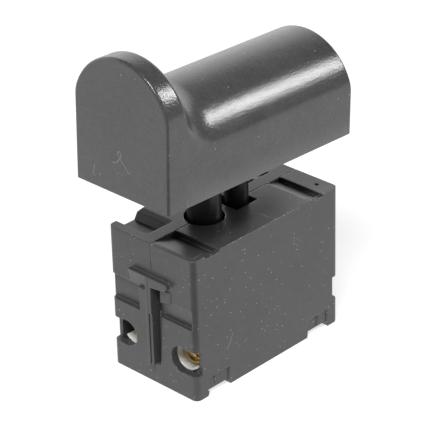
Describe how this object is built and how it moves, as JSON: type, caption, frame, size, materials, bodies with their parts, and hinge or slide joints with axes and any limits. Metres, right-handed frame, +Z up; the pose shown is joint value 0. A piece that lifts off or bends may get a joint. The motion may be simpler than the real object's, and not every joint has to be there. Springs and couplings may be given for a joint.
{
  "type": "power tool trigger switch",
  "caption": "Double-pole hand tool switch with a two-part black housing, screw terminals at both ends and a long round-topped finger trigger that pushes down.",
  "frame": {"origin": "on the underside of the body, on the parting plane, under the middle of the return spring", "axes": "+X along the body toward the low end of the trigger, +Y across it toward the back housing, +Z up toward the trigger"},
  "size_m": [0.0535, 0.0254, 0.0738],
  "materials": {
    "body_plastic": "satin",
    "trigger_plastic": "fine grained gloss",
    "spring_steel": "drawn wire",
    "brass": "bright",
    "silver": "bright",
    "nickel": "bright plated"
  },
  "bodies": {
    "housing": {"front_housing": "body_plastic", "back_housing": "body_plastic", "return_spring": "spring_steel", "front_left_terminal": "brass", "front_left_fixed_contact": "silver", "front_left_terminal_screw": "brass", "front_left_wire_clamp": "nickel", "front_right_terminal": "brass", "front_right_fixed_contact": "silver", "front_right_terminal_screw": "brass", "front_right_wire_clamp": "nickel", "back_left_terminal": "brass", "back_left_fixed_contact": "silver", "back_left_terminal_screw": "brass", "back_left_wire_clamp": "nickel", "back_right_terminal": "brass", "back_right_fixed_contact": "silver", "back_right_terminal_screw": "brass", "back_right_wire_clamp": "nickel"},
    "trigger": {"trigger_cap": "trigger_plastic", "plunger": "trigger_plastic", "front_contact_spring": "spring_steel", "back_contact_spring": "spring_steel"},
    "front_contact": {"front_bridge": "brass", "front_bridge_tips": "silver"},
    "back_contact": {"back_bridge": "brass", "back_bridge_tips": "silver"}
  },
  "joints": [
    {"name": "trigger_slide", "type": "slide", "parent": "housing", "child": "trigger", "axis": [0, 0, 1], "range_m": [-0.007, 0], "stiffness_N_per_m": 400, "springref_m": 0.01, "deforming": ["return_spring"]},
    {"name": "front_contact_slide", "type": "slide", "parent": "trigger", "child": "front_contact", "axis": [0, 0, 1], "range_m": [0, 0.0012], "deforming": ["front_contact_spring"]},
    {"name": "back_contact_slide", "type": "slide", "parent": "trigger", "child": "back_contact", "axis": [0, 0, 1], "range_m": [0, 0.0012], "deforming": ["back_contact_spring"]}
  ],
  "couplings": [
    {"joint": "front_contact_slide", "follows": "trigger_slide", "ratio": -0.1714},
    {"joint": "back_contact_slide", "follows": "trigger_slide", "ratio": -0.1714}
  ]
}
